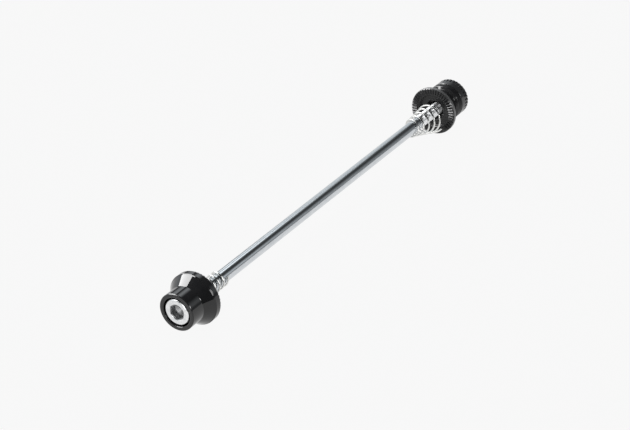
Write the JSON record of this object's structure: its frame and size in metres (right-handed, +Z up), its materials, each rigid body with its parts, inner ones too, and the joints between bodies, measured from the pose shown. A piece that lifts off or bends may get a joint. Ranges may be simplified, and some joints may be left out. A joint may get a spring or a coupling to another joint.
{
  "type": "bolt-on wheel skewer",
  "caption": "Long socket-headed bolt with a black toothed cap at its head, a black toothed knurled nut on its thread and a conical spring in front of each, for clamping a wheel hub in a frame.",
  "frame": {"origin": "on the floor, midway between the two ends, under the rod", "axes": "+X along the rod from the socket head to the nut, +Z up from the floor that the two flanges lie on"},
  "size_m": [0.1892, 0.0194, 0.0194],
  "materials": {
    "bright_steel": "bright plated drawn steel, lightly streaked along the rod",
    "spring_steel": "bright drawn stainless wire",
    "gloss_black_aluminium": "turned, black, glossy",
    "satin_black_aluminium": "turned, black, satin, matt on the toothed face"
  },
  "bodies": {
    "bolt": {"skewer_bolt": "bright_steel"},
    "cap": {"head_cap": "gloss_black_aluminium"},
    "head_spring": {"head_spring": "spring_steel"},
    "nut_spring": {"nut_spring": "spring_steel"},
    "nut": {"nut": "satin_black_aluminium"}
  },
  "joints": [
    {"name": "cap_turn", "type": "hinge", "parent": "bolt", "child": "cap", "pos_m": [-0.08465, 0, 0.0097], "axis": [1, 0, 0], "continuous": true},
    {"name": "head_spring_slide", "type": "slide", "parent": "bolt", "child": "head_spring", "axis": [1, 0, 0], "range_m": [0, 0.119]},
    {"name": "nut_travel", "type": "slide", "parent": "bolt", "child": "nut_spring", "axis": [1, 0, 0], "range_m": [-0.00801, 0.00641]},
    {"name": "nut_turn", "type": "hinge", "parent": "nut_spring", "child": "nut", "pos_m": [0.0784, 0, 0.0097], "axis": [1, 0, 0], "range_deg": [-3600, 2880]}
  ],
  "couplings": [
    {"joint": "nut_travel", "follows": "nut_turn", "m_per_rad": 0.00012732}
  ]
}
